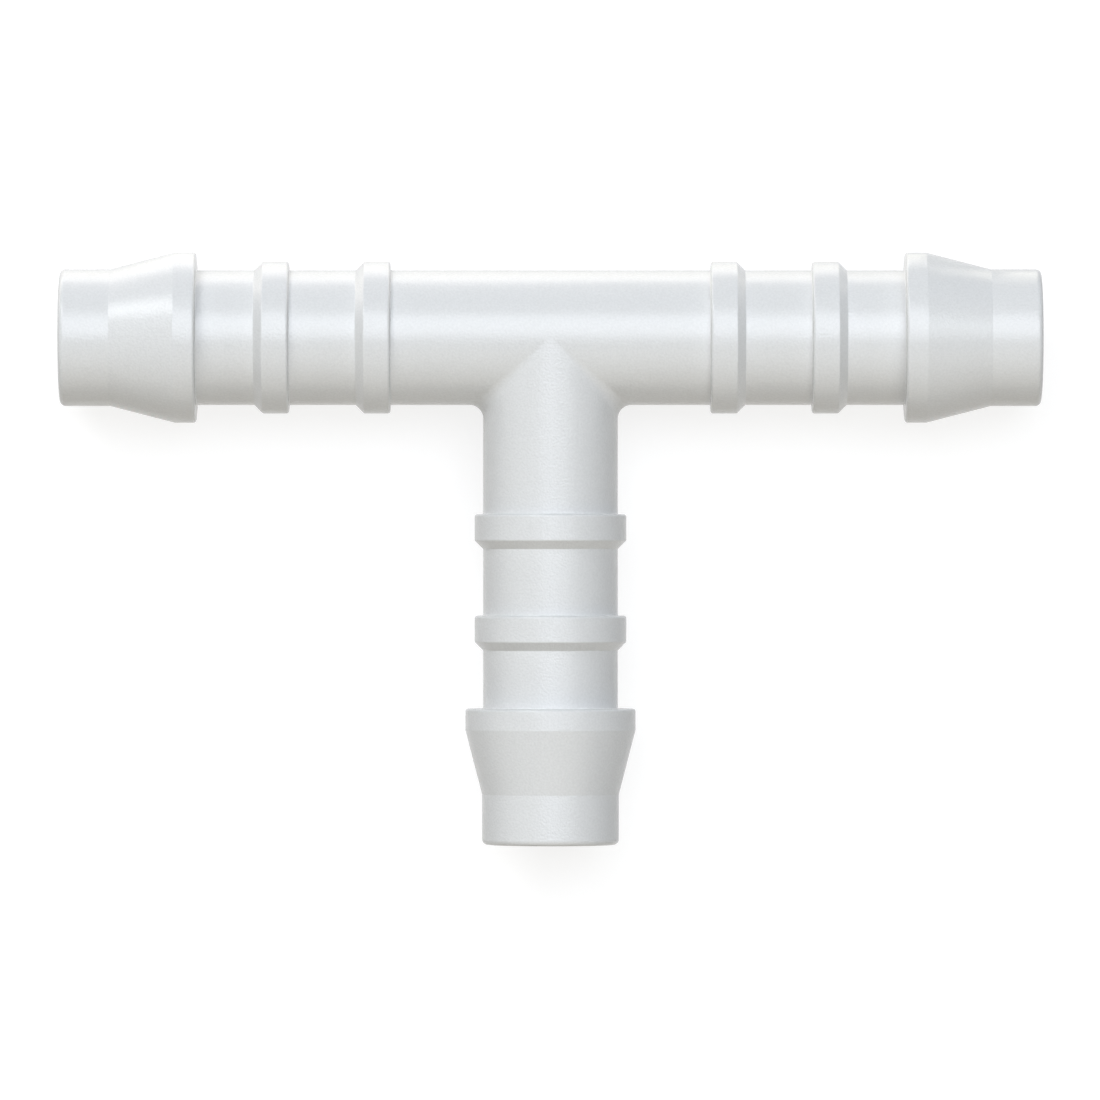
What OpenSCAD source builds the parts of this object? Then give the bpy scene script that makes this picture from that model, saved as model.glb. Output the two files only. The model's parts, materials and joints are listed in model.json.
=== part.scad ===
// Equal hose barb tee: joins three soft hoses of one size, moulded in one piece of hard white plastic.
// The run lies along X and the branch points to -Y. Their axes cross at the origin.
// It lies on its three barb heads, so the surface under it is at z = -head_d / 2. Sizes are in mm.

/* [Overall] */
// Length of the run from open end to open end
run_len = 69.15; // [62:0.05:100]
// Distance from the run's axis to the branch's open end
branch_len = 35.75; // [31:0.05:60]

/* [Passage] */
// Diameter of the passage through the run and the branch
bore_d = 7; // [5:0.1:8]
// Width of the bevel at each mouth of the passage
mouth_bevel = 0.3; // [0.1:0.05:0.5]

/* [Neck] */
// Outside diameter of the plain tube at the crossing and between the rings
neck_d = 9.5; // [8.8:0.1:10.3]
// Radius of the hollow blend in the corner between the run and the branch
blend_r = 0.95; // [0.4:0.05:3]

/* [Rings] */
// Number of small rings on each leg
ring_count = 2; // [0:1:2]
// Outside diameter of a small ring
ring_d = 10.7; // [10:0.1:11.8]
// Length of a ring's outer face, from its square shoulder to its bevel
ring_face = 1.85; // [1:0.05:3]
// Distance from one ring's shoulder to the next
ring_pitch = 7.15; // [4:0.05:10]
// Length of plain neck between the last ring and the barb head
head_gap = 4.1; // [1:0.05:7]

/* [Barb head] */
// Outside diameter of the barb head
head_d = 12; // [11.2:0.1:14]
// Length of the barb head's straight land
land_len = 1.5; // [0.8:0.1:4]
// Length of the cone that stretches the hose
cone_len = 4.55; // [2:0.05:7]
// Outside diameter of the nose, a little under the hose's own bore
nose_d = 9.65; // [9.2:0.05:10.8]
// Length of the nose in front of the cone
nose_len = 3.55; // [1.5:0.05:6]

/* [Edges] */
// Radius of the nose's outer edge
nose_edge_r = 0.4; // [0.1:0.05:0.5]
// Radius of the outer edge of each square shoulder
shoulder_r = 0.2; // [0.05:0.05:0.3]
// Radius of the other edges of the rings and the barb head
edge_r = 0.15; // [0.05:0.05:0.3]
// Radius in the corners at the foot of each shoulder
root_r = 0.1; // [0.05:0.05:0.3]

/* [Hidden] */
plastic = [0.93, 0.935, 0.93];
$fn = 96;

bore_r = bore_d / 2;
neck_r = neck_d / 2;
ring_r = ring_d / 2;
head_r = head_d / 2;
nose_r = nose_d / 2;
// A ring's bevel stands at 45 degrees, so it is as long as the ring is high
ring_bevel = ring_r - neck_r;
ring_zone = ring_count > 0 ? (ring_count - 1) * ring_pitch + ring_face + ring_bevel : 0;
barb_len = ring_zone + head_gap + land_len + cone_len + nose_len;
run_tip = run_len / 2;
branch_tip = branch_len;
// Distance from the other leg's axis to the first ring's shoulder
run_root = run_tip - barb_len;
branch_root = branch_tip - barb_len;
// How far a cut reaches past the face that it opens
past = 1;
// Largest turn, in degrees, between two neighbouring points of a rounded corner
corner_step = 20;
// Share of a straight piece that one rounded corner may use up
corner_share = 0.45;
// Steps along and across each blend
blend_steps = 30;
blend_arc_steps = 8;
// Angles round the crease, in degrees from the apex above, where each blend starts and ends.
// The apex below is at 180, and near both a blend is still under both surfaces.
blend_start = 5;
blend_end = 180 - blend_start;
// Depth at which the edges of a blend are sunk below the tubes, so that the surfaces cross cleanly
blend_sink = 0.01;
// Distance of a blend's inner edge from both axes, as a share of the tube's radius
blend_core = 0.8;

function unit(v) = v / norm(v);
function cross_2d(u, v) = u.x * v.y - u.y * v.x;
function along(centre, r, angle) = centre + r * [cos(angle), sin(angle)];

// The points that round the corner at b on the way from a to c
function corner(a, b, c, r) =
    let (
        u = unit(a - b),
        v = unit(c - b),
        turn = 180 - acos(u * v),
        room = corner_share * min(norm(a - b), norm(c - b)),
        cut = min(r * tan(turn / 2), room),
        radius = cut / tan(turn / 2),
        centre = b + unit(u + v) * radius / cos(turn / 2),
        first = b + u * cut - centre,
        side = cross_2d(u, v) > 0 ? -1 : 1,
        steps = ceil(turn / corner_step)
    )
    [for (i = [0:steps]) along(centre, radius, atan2(first.y, first.x) + side * turn * i / steps)];

// An outline of [radius, distance, corner radius] stations as plain points
function rounded(path) =
    [
        for (i = [0:len(path) - 1])
            let (here = [path[i][0], path[i][1]])
            each path[i][2] == 0
                ? [here]
                : corner(
                    [path[i - 1][0], path[i - 1][1]],
                    here,
                    [path[i + 1][0], path[i + 1][1]],
                    path[i][2]
                )
    ];

// A small ring with its square shoulder at the given distance, seen from the crossing
function ring_stations(start) =
    [
        [neck_r, start, root_r],
        [ring_r, start, shoulder_r],
        [ring_r, start + ring_face, edge_r],
        [neck_r, start + ring_face + ring_bevel, root_r]
    ];

// The barb head, cone and nose, from the head's shoulder to the open end
function head_stations(start) =
    [
        [neck_r, start, root_r],
        [head_r, start, shoulder_r],
        [head_r, start + land_len, edge_r],
        [nose_r, start + land_len + cone_len, edge_r],
        [nose_r, start + land_len + cone_len + nose_len, nose_edge_r],
        [0, start + land_len + cone_len + nose_len, 0]
    ];

// One leg's outline from a point on the neck to the middle of its open end
function leg_outline(root) =
    rounded(concat(
        [[neck_r, 0, 0]],
        [for (i = [0:1:ring_count - 1]) each ring_stations(root + i * ring_pitch)],
        head_stations(root + ring_zone + head_gap)
    ));

// The same outline for the leg that points the other way, without its point at the crossing
function opposite(outline) = [for (i = [len(outline) - 1:-1:1]) [outline[i].x, -outline[i].y]];

// The run is one turned body from open end to open end
module run_outside() {
    leg = leg_outline(run_root);
    ahead = [for (i = [1:len(leg) - 1]) leg[i]];
    rotate([0, 90, 0])
        rotate_extrude()
            polygon(concat(opposite(leg), ahead));
}

// The branch starts on the run's axis
module branch_outside() {
    rotate([90, 0, 0])
        rotate_extrude()
            polygon(concat([[0, 0]], leg_outline(branch_root)));
}

// Where a ball that rolls in the corner between the two tubes touches them and turns between them.
// Its angle a runs from 0 at the apex above, through 90 in the corner, to 180 at the apex below.
function on_run(a) = [0, -sin(a), cos(a)];
function on_branch(a) = [sin(a), 0, cos(a)];
function ball_centre(a) = (neck_r + blend_r - blend_sink) * [sin(a), -sin(a), cos(a)];
function ball_turn(a) = acos(on_run(a) * on_branch(a));
function ball_way(a, t) =
    (sin((1 - t) * ball_turn(a)) * on_run(a) + sin(t * ball_turn(a)) * on_branch(a)) / sin(ball_turn(a));
function blend_section(a) =
    concat(
        [blend_core * neck_r * [sin(a), -sin(a), cos(a)]],
        [for (j = [0:blend_arc_steps]) ball_centre(a) - blend_r * ball_way(a, j / blend_arc_steps)]
    );

// The hollow blend on the +X side of the branch, swept along the crease where the two tubes meet
module blend() {
    size = len(blend_section(blend_start));
    last = blend_steps * size;
    step = (blend_end - blend_start) / blend_steps;
    points = [for (i = [0:blend_steps]) each blend_section(blend_start + step * i)];
    skin = [
        for (i = [0:blend_steps - 1], j = [0:size - 1])
            let (
                here = i * size + j,
                beside = i * size + (j + 1) % size
            )
            each [[here, here + size, beside], [beside, here + size, beside + size]]
    ];
    start_cap = [for (j = [1:blend_arc_steps]) [0, j, j + 1]];
    end_cap = [for (j = [1:blend_arc_steps]) [last, last + j + 1, last + j]];
    polyhedron(points = points, faces = concat(skin, start_cap, end_cap));
}

// The bevel of an open mouth that faces +Z at the given height
module mouth(height) {
    reach = mouth_bevel + past;
    translate([0, 0, height - mouth_bevel])
        cylinder(h = reach, r1 = bore_r, r2 = bore_r + reach);
}

// The run's passage, open at both ends
module run_passage() {
    rotate([0, 90, 0]) {
        cylinder(h = 2 * (run_tip + past), r = bore_r, center = true);
        for (end = [0, 1])
            mirror([0, 0, end])
                mouth(run_tip);
    }
}

// The branch's passage, which opens into the run's
module branch_passage() {
    rotate([90, 0, 0]) {
        cylinder(h = branch_tip + past, r = bore_r);
        mouth(branch_tip);
    }
}

// The tee: turned legs, a blended crease on both sides of the branch, and the passages
module tee_body() {
    color(plastic)
        difference() {
            union() {
                run_outside();
                branch_outside();
                for (side = [0, 1])
                    mirror([side, 0, 0])
                        blend();
            }
            run_passage();
            branch_passage();
        }
}

tee_body();
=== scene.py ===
"""A hose barb tee in white acetal, lying on a pale studio floor and seen from straight above.

The tee is one moulded piece. Its skin here is one closed mesh, nearly all quads, with the CAD model's
form. Its rows run along the legs, so that every step, edge and blend has even faces and exact normals.
Sizes of the tee are in millimetres, and everything that goes into the scene is in metres.
"""
import json
import math
from collections import namedtuple

import bpy
from mathutils import Matrix, Vector


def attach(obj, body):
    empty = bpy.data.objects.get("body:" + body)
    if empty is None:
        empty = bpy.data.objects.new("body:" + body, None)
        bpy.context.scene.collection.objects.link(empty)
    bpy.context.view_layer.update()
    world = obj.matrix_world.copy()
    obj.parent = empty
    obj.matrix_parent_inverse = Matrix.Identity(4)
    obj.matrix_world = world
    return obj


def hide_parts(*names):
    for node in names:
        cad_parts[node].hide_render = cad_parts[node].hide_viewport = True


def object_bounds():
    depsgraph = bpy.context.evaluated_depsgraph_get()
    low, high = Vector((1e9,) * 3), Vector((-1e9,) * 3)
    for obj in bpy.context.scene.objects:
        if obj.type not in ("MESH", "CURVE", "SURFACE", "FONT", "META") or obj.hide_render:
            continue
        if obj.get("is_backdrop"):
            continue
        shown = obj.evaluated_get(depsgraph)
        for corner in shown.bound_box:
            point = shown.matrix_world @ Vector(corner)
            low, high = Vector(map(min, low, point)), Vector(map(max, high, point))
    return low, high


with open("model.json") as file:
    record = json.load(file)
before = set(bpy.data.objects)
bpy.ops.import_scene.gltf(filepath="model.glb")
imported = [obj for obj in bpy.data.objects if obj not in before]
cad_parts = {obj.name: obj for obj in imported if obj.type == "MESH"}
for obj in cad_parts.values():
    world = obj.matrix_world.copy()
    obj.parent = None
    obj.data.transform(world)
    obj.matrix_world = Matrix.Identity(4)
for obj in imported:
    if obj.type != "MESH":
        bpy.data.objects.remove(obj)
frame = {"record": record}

CAD_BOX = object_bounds()
MM = 0.001


def mount_radius(name):
    """The radius in mm that the record states for a mount."""
    return next(m["dims"]["r_mm"] for m in frame["record"]["mounts"] if m["name"] == name)


# Sizes taken from the frame
RUN_TIP = CAD_BOX[1].x / MM
BRANCH_TIP = -CAD_BOX[0].y / MM
HEAD_R = mount_radius("run_barb_plus_x")
BORE_R = mount_radius("run_bore")

# Sizes of the legs, as in the CAD model
NECK_R = 4.75
BLEND_R = 0.95
RING_COUNT = 2
RING_R = 5.35
RING_FACE = 1.85
RING_PITCH = 7.15
HEAD_GAP = 4.1
LAND_LEN = 1.5
CONE_LEN = 4.55
NOSE_R = 4.825
NOSE_LEN = 3.55
NOSE_EDGE_R = 0.4
SHOULDER_R = 0.2
EDGE_R = 0.15
ROOT_R = 0.1
MOUTH_BEVEL = 0.3
MOUTH_EDGE_R = 0.05
RING_BEVEL = RING_R - NECK_R
RING_ZONE = (RING_COUNT - 1) * RING_PITCH + RING_FACE + RING_BEVEL
BARB_LEN = RING_ZONE + HEAD_GAP + LAND_LEN + CONE_LEN + NOSE_LEN

# How finely the skin is divided: the faces round half a leg, across a blend and along a neck and a
# passage, then the most that a face of a rounded corner turns, and a barb's longest straight face
TURN_STEPS = 64
BLEND_STEPS = 10
NECK_STEPS = 14
BORE_STEPS = 40
CORNER_STEP = math.radians(15)
LONGEST_FACE = 0.8
# Share of a straight piece that one rounded corner may use up
CORNER_SHARE = 0.45
# Corners of faces that agree to this many decimals are one corner of the mesh
SAME_DECIMALS = 5

# The camera looks straight down. FIELD is the width that it sees at the height of the tee's axes.
CAMERA_PLACE = (-0.000035, -0.01497, 0.8)
FIELD = 0.07755
SENSOR = 36

# White acetal with a fine speckle of tone, which is also painted shade in the lows of its grain and
# painted light on its tops
ACETAL_SHADED_LOW = (0.693, 0.698, 0.698, 1)
ACETAL_LIT_TOP = (0.747, 0.752, 0.752, 1)
ACETAL_IOR = 1.52
ROUGHNESS_RANGE = (0.21, 0.24)
# The fine grain of the spark-eroded mould, and the slow waves that the flow of the plastic leaves.
# A scale is in waves to the metre, a depth in metres, and detail is the number of finer octaves.
GRAIN_SCALE = 6500
GRAIN_DETAIL = 1
GRAIN_DEPTH = 2e-5
FLOW_SCALE = 350
FLOW_DETAIL = 2
FLOW_DEPTH = 4e-6
# Nearly all values of a noise pattern lie between these
NOISE_LOW = 0.25
NOISE_HIGH = 0.75

# The floor's own colour, and its glow for the rays that see it as a background, which makes it pale
FLOOR_SIZE = 8
FLOOR_COLOUR = (0.3, 0.3, 0.3, 1)
FLOOR_GLOW = 0.8
# The world as a light and as a background
AMBIENT = (0.02, 0.02, 0.02, 1)
WHITE = (1, 1, 1, 1)

Spot = namedtuple("Spot", "along out facing_along facing_out")
Sun = namedtuple("Sun", "name tilt turn spread strength colour")
Panel = namedtuple("Panel", "name across deep glow colour")

# Soft suns. Tilt is the angle from the view axis in degrees, turn goes round it from +X towards +Y,
# and spread is how wide the sun looks from the tee.
SUNS = [
    Sun("key", 18, 86, 42, 1.23, (0.865, 0.91, 1)),
    Sun("key_left", 25, 120, 40, 0.38, (0.91, 0.955, 1)),
    Sun("key_right", 30, 30, 30, 0.58, (0.89, 0.955, 1)),
    Sun("top_left", 52, 122, 24, 0.92, (0.965, 0.985, 1)),
    Sun("left_fill", 60, 180, 80, 0.45, (1, 0.97, 0.86)),
    Sun("front_fill", 60, 282, 80, 0.88, (1, 0.915, 0.745)),
]

# Soft panels that lie on the floor beyond the run, where they light its far side from below. across
# and deep are where they start and end along X and Y, and glow is their power, in pi watts to the
# square metre.
PANELS = [
    Panel("back_near", (-0.09, 0.0268), (0.01, 0.0155), 1.08, (1, 0.93, 0.77)),
    Panel("back_middle", (-0.09, 0.0268), (0.0155, 0.027), 2.32, (1, 0.95, 0.9)),
    Panel("back_far", (-0.09, 0), (0.027, 0.04), 1.36, (1, 0.95, 1)),
    Panel("back_right", (0.0325, 0.037), (0.01, 0.04), 1.5, (1, 0.95, 0.83)),
]
# Height of the panels above the floor, so that the two don't share a plane
PANEL_LIFT = 0.0001


def corner_arc(before, here, after, radius):
    """The arc that rounds the corner at here, on the way from before to after, as spots."""
    way_in = here - before
    way_out = after - here
    turn = way_in.angle_signed(way_out)
    half_tan = math.tan(abs(turn) / 2)
    room = CORNER_SHARE * min(way_in.length, way_out.length)
    cut = min(radius * half_tan, room)
    bulge = math.copysign(cut / half_tan, turn)
    first = here - way_in.normalized() * cut
    facing_in = way_in.normalized().orthogonal()
    centre = first - bulge * facing_in
    steps = math.ceil(abs(turn) / CORNER_STEP)
    spots = []
    for i in range(steps + 1):
        facing = Matrix.Rotation(-turn * i / steps, 2) @ facing_in
        spots.append(Spot(*(centre + bulge * facing), *facing))
    return spots


def straight(a, b):
    """Spots between the spots a and b, where the straight between them is long."""
    length = math.hypot(b.along - a.along, b.out - a.out)
    pieces = math.ceil(length / LONGEST_FACE)
    spots = []
    for i in range(1, pieces):
        share = i / pieces
        along = a.along + (b.along - a.along) * share
        out = a.out + (b.out - a.out) * share
        spots.append(Spot(along, out, a.facing_along, a.facing_out))
    return spots


def ring_stations(start):
    """A small ring, as (distance, radius, corner radius), with its square shoulder at start."""
    return [
        (start, NECK_R, ROOT_R),
        (start, RING_R, SHOULDER_R),
        (start + RING_FACE, RING_R, EDGE_R),
        (start + RING_FACE + RING_BEVEL, NECK_R, ROOT_R),
    ]


def head_stations(start):
    """The barb head, cone, nose and mouth, from the head's shoulder round into the passage."""
    tip = start + LAND_LEN + CONE_LEN + NOSE_LEN
    return [
        (start, NECK_R, ROOT_R),
        (start, HEAD_R, SHOULDER_R),
        (start + LAND_LEN, HEAD_R, EDGE_R),
        (start + LAND_LEN + CONE_LEN, NOSE_R, EDGE_R),
        (tip, NOSE_R, NOSE_EDGE_R),
        (tip, BORE_R + MOUTH_BEVEL, MOUTH_EDGE_R),
        (tip - MOUTH_BEVEL, BORE_R, MOUTH_EDGE_R),
    ]


def barb_outline(tip):
    """Spots along one leg, from its first ring round its open end to the wall of the passage."""
    root = tip - BARB_LEN
    stations = [(0, NECK_R, 0)]
    for i in range(RING_COUNT):
        stations += ring_stations(root + i * RING_PITCH)
    stations += head_stations(root + RING_ZONE + HEAD_GAP)
    stations.append((0, BORE_R, 0))
    spots = []
    for before, here, after in zip(stations, stations[1:], stations[2:]):
        arc = corner_arc(Vector(before[:2]), Vector(here[:2]), Vector(after[:2]), here[2])
        if spots:
            spots += straight(spots[-1], arc[0])
        spots += arc
    return spots


def leg_outline(barb, neck_start, bore_end):
    """A leg's spots: even steps along the neck, the barb, and even steps back down the passage."""
    neck_len = barb[0].along - neck_start
    bore_start = barb[-1].along
    bore_len = bore_start - bore_end
    neck = [Spot(neck_start + neck_len * i / NECK_STEPS, NECK_R, 0, 1) for i in range(NECK_STEPS)]
    bore = [
        Spot(bore_start - bore_len * i / BORE_STEPS, BORE_R, 0, -1)
        for i in range(1, BORE_STEPS + 1)
    ]
    return neck + barb + bore


def placed(spots, axis, out):
    """Spots of a leg as (place, facing) pairs in space.

    axis points along the leg, and out points straight away from it.
    """
    return [
        (axis * spot.along + out * spot.out, axis * spot.facing_along + out * spot.facing_out)
        for spot in spots
    ]


def back_row(angle, run_barb):
    """The row round the side that the branch doesn't reach, out along one leg and back along the other.

    Its angle is measured round the run, from the top.
    """
    out = Vector((0, math.sin(angle), math.cos(angle)))
    spots = leg_outline(run_barb, 0, 0)
    ahead = placed(spots, Vector((1, 0, 0)), out)
    behind = placed(spots, Vector((-1, 0, 0)), out)
    return ahead + behind[::-1]


def corner_row(angle, side, run_barb, branch_barb):
    """The row round one corner of the tee: up the branch, through the blend and out along the run.

    The blend is the path of a ball that rolls in the corner and touches both necks.
    """
    sine = math.sin(angle)
    off_run = Vector((0, -sine, math.cos(angle)))
    off_branch = Vector((side * sine, 0, math.cos(angle)))
    reach = (NECK_R + BLEND_R) * sine
    mitre = BORE_R * sine
    branch = placed(leg_outline(branch_barb, reach, mitre), Vector((0, -1, 0)), off_branch)
    run = placed(leg_outline(run_barb, reach, mitre), Vector((side, 0, 0)), off_run)
    ball = (NECK_R + BLEND_R) * Vector((side * sine, -sine, math.cos(angle)))
    blend = []
    for i in range(1, BLEND_STEPS):
        facing = off_branch.slerp(off_run, i / BLEND_STEPS)
        blend.append((ball - BLEND_R * facing, facing))
    return branch[::-1] + blend + run


def faces_between(row, following):
    """The quads between two neighbouring rows, each with its corners in order round its outer side."""
    for here, there in zip(zip(row, row[1:]), zip(following, following[1:])):
        quad = [here[0], here[1], there[1], there[0]]
        across = (quad[2][0] - quad[0][0]).cross(quad[3][0] - quad[1][0])
        facing = sum((corner[1] for corner in quad), Vector((0, 0, 0)))
        yield quad if across.dot(facing) > 0 else quad[::-1]


def corner_key(place):
    """A corner's place in plain numbers that are the same for all faces which meet there."""
    return tuple(round(number, SAME_DECIMALS) + 0.0 for number in place)


def skin_mesh(name, sheets):
    """One closed mesh over sheets of rows that join where they meet, with exact normals."""
    index = {}
    faces = []
    normals = []
    for rows in sheets:
        for row, following in zip(rows, rows[1:]):
            for quad in faces_between(row, following):
                face = {}
                for place, facing in quad:
                    face.setdefault(index.setdefault(corner_key(place), len(index)), facing)
                if len(face) > 2:
                    faces.append(list(face))
                    normals += face.values()
    mesh = bpy.data.meshes.new(name)
    mesh.from_pydata([Vector(key) * MM for key in index], [], faces)
    mesh.shade_smooth()
    mesh.normals_split_custom_set(normals)
    return mesh


def tee_mesh():
    """The tee's skin: the side away from the branch, and the two corners beside it."""
    run_barb = barb_outline(RUN_TIP)
    branch_barb = barb_outline(BRANCH_TIP)
    angles = [math.pi * i / TURN_STEPS for i in range(TURN_STEPS + 1)]
    sheets = [
        [back_row(angle, run_barb) for angle in angles],
        [corner_row(angle, 1, run_barb, branch_barb) for angle in angles],
        [corner_row(angle, -1, run_barb, branch_barb) for angle in angles],
    ]
    return skin_mesh("tee", sheets)


def new_node(tree, kind, **values):
    """A node with its plain properties and unlinked inputs set."""
    node = tree.nodes.new(kind)
    for name, value in values.items():
        if name in node.inputs:
            node.inputs[name].default_value = value
        else:
            setattr(node, name, value)
    return node


def noise(tree, coordinates, scale, detail):
    """The value of a noise pattern, whose scale is in waves to the metre."""
    node = new_node(tree, "ShaderNodeTexNoise", Scale=scale, Detail=detail)
    tree.links.new(coordinates, node.inputs["Vector"])
    return node.outputs["Fac"]


def spread_over(tree, value, low, high):
    """A noise value stretched over a range of plain numbers."""
    limits = {"From Min": NOISE_LOW, "From Max": NOISE_HIGH, "To Min": low, "To Max": high}
    node = new_node(tree, "ShaderNodeMapRange", **limits)
    tree.links.new(value, node.inputs["Value"])
    return node.outputs["Result"]


def bumped(tree, height, depth, under=None):
    """Normals that follow a height pattern of that depth in metres, on top of another bump."""
    node = new_node(tree, "ShaderNodeBump", Strength=1, Distance=depth)
    tree.links.new(height, node.inputs["Height"])
    if under:
        tree.links.new(under, node.inputs["Normal"])
    return node.outputs["Normal"]


def acetal():
    """White acetal from a spark-eroded mould: satin, with a fine even grain in its surface, whose shade
    is painted into the colour.
    """
    material = bpy.data.materials.new("satin_acetal")
    material.use_nodes = True
    tree = material.node_tree
    shader = tree.nodes["Principled BSDF"]
    shader.inputs["IOR"].default_value = ACETAL_IOR
    place = new_node(tree, "ShaderNodeTexCoord").outputs["Object"]
    grain = noise(tree, place, GRAIN_SCALE, GRAIN_DETAIL)
    flow = noise(tree, place, FLOW_SCALE, FLOW_DETAIL)
    # Painted shade and light of the grain: the colour follows the grain's height, darker in its lows
    # and lighter on its tops
    grain_tone_and_shade = new_node(tree, "ShaderNodeMix", data_type="RGBA")
    grain_tone_and_shade.inputs["A"].default_value = ACETAL_SHADED_LOW
    grain_tone_and_shade.inputs["B"].default_value = ACETAL_LIT_TOP
    tree.links.new(spread_over(tree, grain, 0, 1), grain_tone_and_shade.inputs["Factor"])
    tree.links.new(grain_tone_and_shade.outputs["Result"], shader.inputs["Base Color"])
    tree.links.new(spread_over(tree, flow, *ROUGHNESS_RANGE), shader.inputs["Roughness"])
    wavy = bumped(tree, flow, FLOW_DEPTH)
    tree.links.new(bumped(tree, grain, GRAIN_DEPTH, wavy), shader.inputs["Normal"])
    return material


def seen_rays(tree):
    """1 for rays that see a background: straight from the camera, in a reflection or through glass."""
    path = new_node(tree, "ShaderNodeLightPath")
    either = new_node(tree, "ShaderNodeMath", operation="MAXIMUM")
    any_of = new_node(tree, "ShaderNodeMath", operation="MAXIMUM")
    tree.links.new(path.outputs["Is Camera Ray"], either.inputs[0])
    tree.links.new(path.outputs["Is Glossy Ray"], either.inputs[1])
    tree.links.new(either.outputs[0], any_of.inputs[0])
    tree.links.new(path.outputs["Is Transmission Ray"], any_of.inputs[1])
    return any_of.outputs[0]


def floor_material():
    """A plain matt floor that shows white as a background and keeps the tee's shadow."""
    material = bpy.data.materials.new("studio_floor")
    material.use_nodes = True
    material.cycles.emission_sampling = "NONE"
    tree = material.node_tree
    tree.nodes.clear()
    matt = new_node(tree, "ShaderNodeBsdfDiffuse", Color=FLOOR_COLOUR)
    glow = new_node(tree, "ShaderNodeEmission")
    strength = new_node(tree, "ShaderNodeMath", operation="MULTIPLY")
    both = new_node(tree, "ShaderNodeAddShader")
    output = new_node(tree, "ShaderNodeOutputMaterial")
    strength.inputs[1].default_value = FLOOR_GLOW
    tree.links.new(seen_rays(tree), strength.inputs[0])
    tree.links.new(strength.outputs[0], glow.inputs["Strength"])
    tree.links.new(matt.outputs[0], both.inputs[0])
    tree.links.new(glow.outputs[0], both.inputs[1])
    tree.links.new(both.outputs[0], output.inputs["Surface"])
    return material


def make_floor():
    """The floor, at the height of the barb heads that the tee lies on."""
    half = FLOOR_SIZE / 2
    height = CAD_BOX[0].z
    corners = [(-half, -half), (half, -half), (half, half), (-half, half)]
    mesh = bpy.data.meshes.new("floor")
    mesh.from_pydata([(x, y, height) for x, y in corners], [], [(0, 1, 2, 3)])
    mesh.materials.append(floor_material())
    floor = bpy.data.objects.new("floor", mesh)
    bpy.context.scene.collection.objects.link(floor)
    floor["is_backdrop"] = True


def make_world():
    """An even ambient light, which shows white as a background."""
    world = bpy.data.worlds.new("studio")
    world.use_nodes = True
    world.cycles.sampling_method = "NONE"
    bpy.context.scene.world = world
    tree = world.node_tree
    tree.nodes.clear()
    ambient = new_node(tree, "ShaderNodeBackground", Color=AMBIENT)
    white = new_node(tree, "ShaderNodeBackground", Color=WHITE)
    mix = new_node(tree, "ShaderNodeMixShader")
    output = new_node(tree, "ShaderNodeOutputWorld")
    tree.links.new(seen_rays(tree), mix.inputs[0])
    tree.links.new(ambient.outputs[0], mix.inputs[1])
    tree.links.new(white.outputs[0], mix.inputs[2])
    tree.links.new(mix.outputs[0], output.inputs["Surface"])


def make_lamp(name, kind, strength, colour, way):
    """A lamp of that kind whose light comes from the direction of way."""
    light = bpy.data.lights.new(name, kind)
    light.energy = strength
    light.color = colour
    item = bpy.data.objects.new(name, light)
    item.rotation_euler = Vector(way).to_track_quat("Z", "Y").to_euler()
    bpy.context.scene.collection.objects.link(item)
    return item


def make_sun(sun):
    """A soft sun at its tilt and turn."""
    tilt = math.radians(sun.tilt)
    turn = math.radians(sun.turn)
    way = (math.sin(tilt) * math.cos(turn), math.sin(tilt) * math.sin(turn), math.cos(tilt))
    item = make_lamp(sun.name, "SUN", sun.strength, sun.colour, way)
    item.data.angle = math.radians(sun.spread)


def make_panel(panel):
    """A soft panel that lies on the floor, so that its light comes from below."""
    width = panel.across[1] - panel.across[0]
    depth = panel.deep[1] - panel.deep[0]
    power = math.pi * width * depth * panel.glow
    item = make_lamp(panel.name, "AREA", power, panel.colour, (0, 0, -1))
    item.data.shape = "RECTANGLE"
    item.data.size = width
    item.data.size_y = depth
    item.location = (sum(panel.across) / 2, sum(panel.deep) / 2, CAD_BOX[0].z + PANEL_LIFT)
    item.visible_camera = False


def make_camera():
    """The camera, straight above the tee, with the branch towards the bottom of the picture."""
    camera = bpy.data.cameras.new("camera")
    camera.sensor_width = SENSOR
    camera.lens = SENSOR * CAMERA_PLACE[2] / FIELD
    item = bpy.data.objects.new("camera", camera)
    item.location = CAMERA_PLACE
    bpy.context.scene.collection.objects.link(item)
    bpy.context.scene.camera = item


def make_tee():
    """The tee as one piece, in place of its CAD node."""
    tee = bpy.data.objects.new("tee", tee_mesh())
    tee.data.materials.append(acetal())
    bpy.context.scene.collection.objects.link(tee)
    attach(tee, "root")
    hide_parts("tee_body")


make_tee()
make_floor()
make_world()
for sun in SUNS:
    make_sun(sun)
for panel in PANELS:
    make_panel(panel)
make_camera()
bpy.context.scene.view_settings.view_transform = "Standard"

[[list(corner) for corner in box] for box in (CAD_BOX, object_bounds())]
